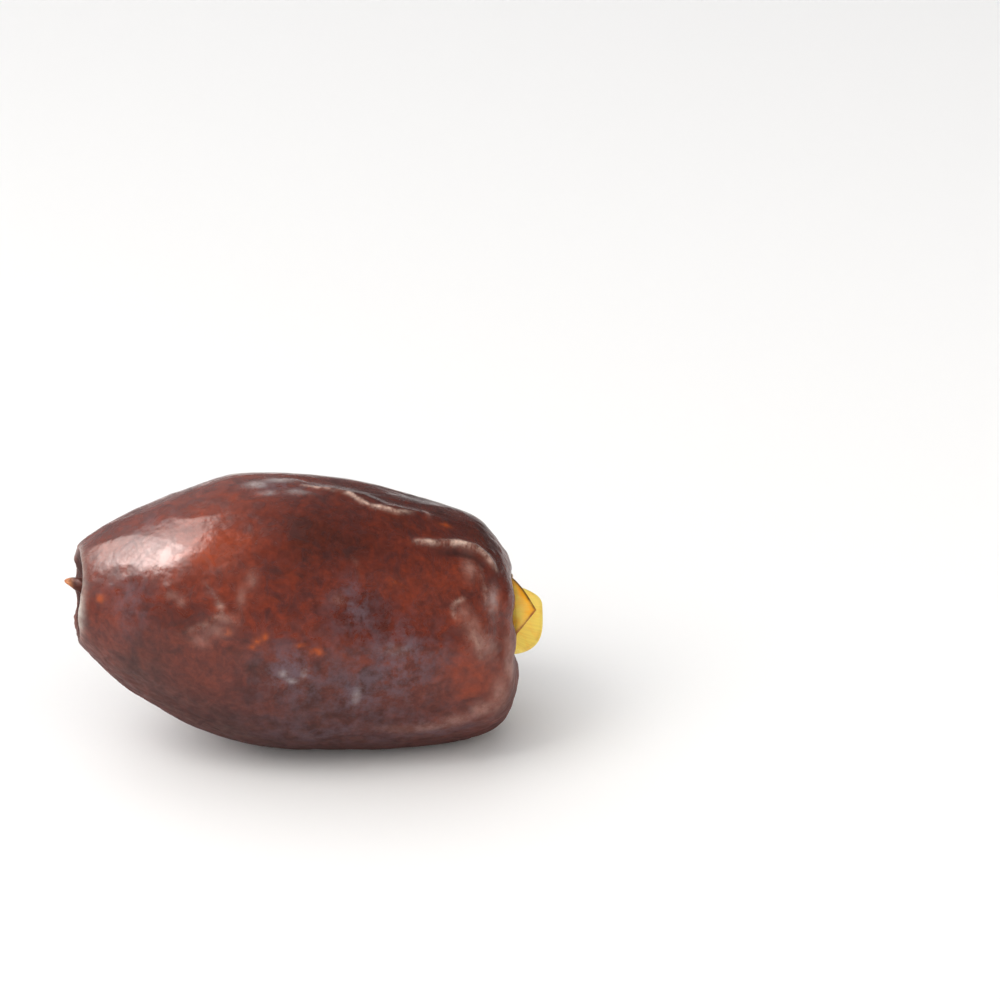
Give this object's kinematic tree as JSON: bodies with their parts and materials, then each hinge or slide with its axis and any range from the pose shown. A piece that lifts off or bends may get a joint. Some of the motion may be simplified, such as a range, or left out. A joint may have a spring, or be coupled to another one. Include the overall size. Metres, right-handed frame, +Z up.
{
  "type": "seedless date",
  "caption": "Soft dark date lying on its side, plump at the calyx end and tapering to the style end, with its dry calyx cap and style tip, used as a whole fruit to eat or display",
  "frame": {"origin": "on the surface the date rests on, under the middle of its bounding box", "axes": "+X along the fruit towards the calyx, +Z up, -Y towards the viewer of the picture"},
  "size_m": [0.046, 0.0256, 0.0264],
  "materials": {
    "skin": "satin",
    "calyx": "matte",
    "style": "matte"
  },
  "bodies": {
    "root": {"fruit": "skin", "calyx": "calyx", "style_tip": "style"}
  },
  "joints": []
}
